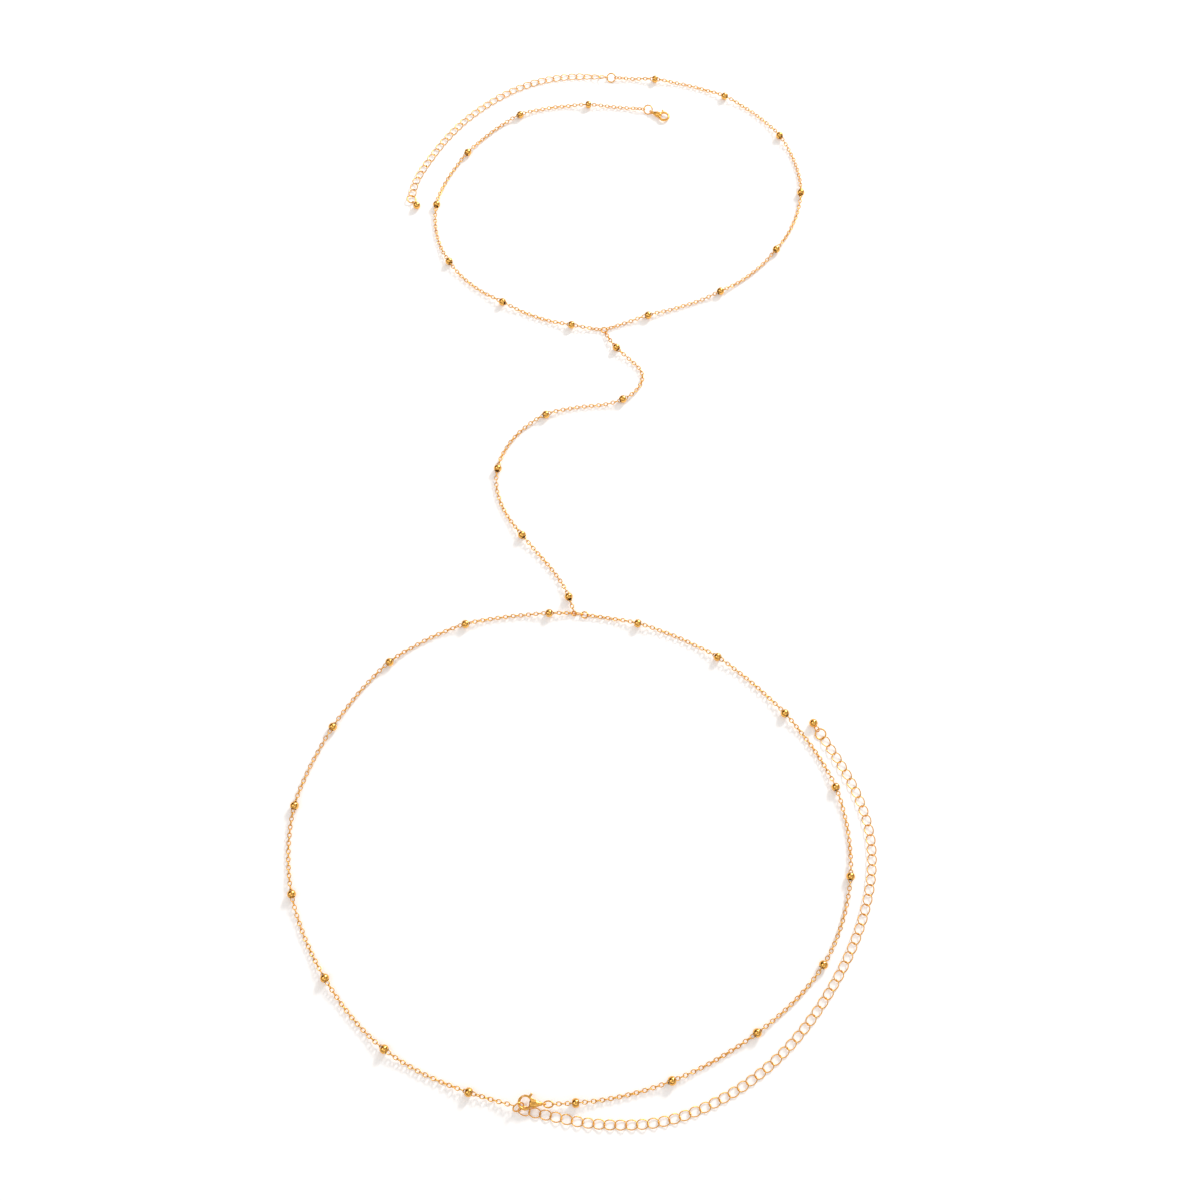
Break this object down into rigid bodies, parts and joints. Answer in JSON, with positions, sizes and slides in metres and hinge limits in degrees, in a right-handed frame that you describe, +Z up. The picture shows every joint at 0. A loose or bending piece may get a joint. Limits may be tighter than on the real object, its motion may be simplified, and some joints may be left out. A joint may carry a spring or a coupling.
{
  "type": "body chain",
  "caption": "Gold body chain laid flat: open neck chain with clasp and extender, short drop, and fastened waist chain with extender, in ball-and-cable chain",
  "frame": {"origin": "centre of the chain's outline as it lies, on the table's surface", "axes": "+Y runs from the waist loop to the neck loop, the longest way; +Z points up from the table, the shortest way; +X is right with the neck at the top"},
  "size_m": [0.198, 0.4282, 0.0036],
  "materials": {
    "bead_gold": "polished gold plate on drilled ball beads",
    "chain_gold": "polished gold plate on fine wire links",
    "clasp_gold": "polished gold plate on cast clasps"
  },
  "bodies": {
    "chain": {"neck_bead_left_1": "bead_gold", "neck_bead_left_2": "bead_gold", "neck_bead_left_3": "bead_gold", "neck_bead_left_4": "bead_gold", "neck_bead_left_5": "bead_gold", "neck_bead_left_6": "bead_gold", "neck_bead_left_7": "bead_gold", "neck_bead_right_1": "bead_gold", "neck_bead_right_2": "bead_gold", "neck_bead_right_3": "bead_gold", "neck_bead_right_4": "bead_gold", "neck_bead_right_5": "bead_gold", "neck_bead_right_6": "bead_gold", "neck_bead_right_7": "bead_gold", "drop_bead_1": "bead_gold", "drop_bead_2": "bead_gold", "drop_bead_3": "bead_gold", "drop_bead_4": "bead_gold", "drop_bead_5": "bead_gold", "drop_bead_6": "bead_gold", "waist_bead_left_1": "bead_gold", "waist_bead_left_2": "bead_gold", "waist_bead_left_3": "bead_gold", "waist_bead_left_4": "bead_gold", "waist_bead_left_5": "bead_gold", "waist_bead_left_6": "bead_gold", "waist_bead_left_7": "bead_gold", "waist_bead_left_8": "bead_gold", "waist_bead_left_9": "bead_gold", "waist_bead_right_1": "bead_gold", "waist_bead_right_2": "bead_gold", "waist_bead_right_3": "bead_gold", "waist_bead_right_4": "bead_gold", "waist_bead_right_5": "bead_gold", "waist_bead_right_6": "bead_gold", "waist_bead_right_7": "bead_gold", "waist_bead_right_8": "bead_gold", "waist_bead_right_9": "bead_gold", "neck_end_ball": "bead_gold", "waist_end_ball": "bead_gold", "neck_chain_left": "chain_gold", "neck_chain_right": "chain_gold", "drop_chain": "chain_gold", "waist_chain_left": "chain_gold", "waist_chain_right": "chain_gold", "neck_extender": "chain_gold", "waist_extender": "chain_gold", "neck_drop_ring": "chain_gold", "neck_clasp_ring": "chain_gold", "neck_extender_ring": "chain_gold", "waist_drop_ring": "chain_gold", "waist_join_ring": "chain_gold", "waist_join_link": "chain_gold", "waist_hook_ring": "chain_gold", "waist_clasp_ring": "chain_gold", "waist_end_ring": "chain_gold", "neck_clasp_body": "clasp_gold", "waist_clasp_body": "clasp_gold"},
    "neck_clasp_lever": {"neck_clasp_lever": "clasp_gold"},
    "waist_clasp_lever": {"waist_clasp_lever": "clasp_gold"}
  },
  "joints": [
    {"name": "neck_lever_hinge", "type": "hinge", "parent": "chain", "child": "neck_clasp_lever", "pos_m": [0.03103, 0.19176, 0.001], "axis": [0, 0, -1], "range_deg": [0, 20], "stiffness_Nm_per_rad": 0.001, "springref_deg": -5.73},
    {"name": "waist_lever_hinge", "type": "hinge", "parent": "chain", "child": "waist_clasp_lever", "pos_m": [-0.01355, -0.20674, 0.00181], "axis": [0, 0, 1], "range_deg": [0, 20], "stiffness_Nm_per_rad": 0.001, "springref_deg": -5.73}
  ]
}
